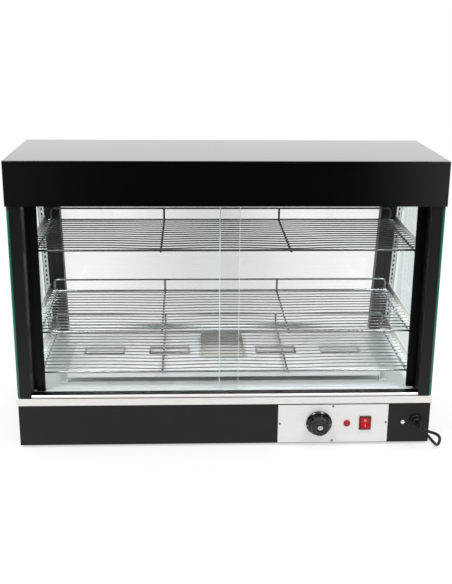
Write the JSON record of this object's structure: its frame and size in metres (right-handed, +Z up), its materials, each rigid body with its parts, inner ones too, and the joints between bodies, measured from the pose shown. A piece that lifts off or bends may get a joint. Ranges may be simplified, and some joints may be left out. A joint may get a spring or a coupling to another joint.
{
  "type": "hot food display case",
  "caption": "Counter-top heated display case with sliding glass doors, slanted rear glass, lift-out wire shelves and a thermostat panel in the black base.",
  "frame": {"origin": "on the surface that the feet stand on, at the middle of the footprint, thermostat knob included", "axes": "+X to the right seen from the side with the doors and controls, +Y from the doors towards the leaning customer side, +Z up"},
  "size_m": [0.9174, 0.6412, 0.6283],
  "materials": {
    "base_black_paint": "fine-textured semi-matt black paint",
    "rubber_feet": "matt",
    "stainless_trim": "brushed",
    "stainless_interior": "satin",
    "stainless_pan": "satin, slightly heat-tinted",
    "stainless_panel": "fine brushed",
    "black_aluminium": "satin black powder coat",
    "canopy_gloss_black": "gloss black stoved paint",
    "clear_glass": "clear float glass with green polished edges",
    "door_edge_black": "satin black",
    "pilaster_steel": "bright, folded and slotted",
    "chrome_wire": "bright plated",
    "element_sheath": "dull sheath",
    "small_screws": "bright",
    "thermostat_steel": "zinc plated",
    "black_knob": "semi-gloss",
    "chrome_insert": "bright",
    "red_lens": "translucent red",
    "switch_black": "semi-gloss",
    "rocker_red": "translucent red",
    "earth_screw_steel": "bright",
    "gland_black": "semi-matt",
    "terminal_white": "moulded",
    "cord_black": "semi-matt sheath",
    "tie_black": "wire tie",
    "plug_black": "moulded"
  },
  "bodies": {
    "case": {"base_shell": "base_black_paint", "base_bottom_cover": "base_black_paint", "foot_front_left": "rubber_feet", "foot_front_right": "rubber_feet", "foot_rear_left": "rubber_feet", "foot_rear_right": "rubber_feet", "door_track_lower": "stainless_trim", "base_trim_frame": "stainless_trim", "door_sill": "stainless_trim", "floor_pan": "stainless_interior", "canopy_ceiling_pan": "stainless_interior", "heat_plate": "stainless_interior", "control_panel": "stainless_panel", "door_track_upper": "black_aluminium", "front_post_left": "black_aluminium", "front_post_right": "black_aluminium", "rear_post_left": "black_aluminium", "rear_post_right": "black_aluminium", "canopy_shell": "canopy_gloss_black", "rear_glass": "clear_glass", "side_glass_left": "clear_glass", "side_glass_right": "clear_glass", "front_pilaster_left": "pilaster_steel", "front_pilaster_right": "pilaster_steel", "rear_pilaster_left": "pilaster_steel", "rear_pilaster_right": "pilaster_steel", "shelf_top_bracket_left": "pilaster_steel", "shelf_top_bracket_right": "pilaster_steel", "shelf_middle_bracket_left": "pilaster_steel", "shelf_middle_bracket_right": "pilaster_steel", "shelf_bottom_bracket_left": "pilaster_steel", "shelf_bottom_bracket_right": "pilaster_steel", "heating_element_left": "element_sheath", "heating_element_right": "element_sheath", "panel_screw_1": "small_screws", "panel_screw_2": "small_screws", "panel_screw_3": "small_screws", "panel_screw_4": "small_screws", "thermostat": "thermostat_steel", "pilot_lamp": "red_lens", "switch_housing": "switch_black", "earth_screw": "earth_screw_steel", "cable_gland": "gland_black", "terminal_block": "terminal_white", "power_cord": "cord_black", "cord_coil": "cord_black", "cord_tail": "cord_black", "cord_tie": "tie_black", "plug": "plug_black"},
    "door_left": {"door_glass_left": "clear_glass", "door_edge_left": "door_edge_black"},
    "door_right": {"door_glass_right": "clear_glass", "door_edge_right": "door_edge_black"},
    "top_shelf": {"shelf_top": "chrome_wire"},
    "middle_shelf": {"shelf_middle": "chrome_wire"},
    "bottom_shelf": {"shelf_bottom": "chrome_wire"},
    "pan": {"water_pan": "stainless_pan"},
    "knob": {"thermostat_knob": "black_knob", "knob_insert": "chrome_insert"},
    "rocker": {"switch_rocker": "rocker_red"}
  },
  "joints": [
    {"name": "door_left_slide", "type": "slide", "parent": "case", "child": "door_left", "axis": [1, 0, 0], "range_m": [0, 0.388]},
    {"name": "door_right_slide", "type": "slide", "parent": "case", "child": "door_right", "axis": [1, 0, 0], "range_m": [-0.388, 0]},
    {"name": "top_shelf_lift", "type": "slide", "parent": "case", "child": "top_shelf", "axis": [0, 0, 1], "range_m": [0, 0.02]},
    {"name": "middle_shelf_lift", "type": "slide", "parent": "case", "child": "middle_shelf", "axis": [0, 0, 1], "range_m": [0, 0.02]},
    {"name": "bottom_shelf_lift", "type": "slide", "parent": "case", "child": "bottom_shelf", "axis": [0, 0, 1], "range_m": [0, 0.02]},
    {"name": "water_pan_lift", "type": "slide", "parent": "case", "child": "pan", "axis": [0, 0, 1], "range_m": [0, 0.008]},
    {"name": "thermostat_turn", "type": "hinge", "parent": "case", "child": "knob", "pos_m": [0.2035, -0.2382, 0.053], "axis": [0, 1, 0], "range_deg": [0, 300]},
    {"name": "switch_rock", "type": "hinge", "parent": "case", "child": "rocker", "pos_m": [0.3048, -0.2267, 0.0532], "axis": [1, 0, 0], "range_deg": [0, 19]}
  ]
}
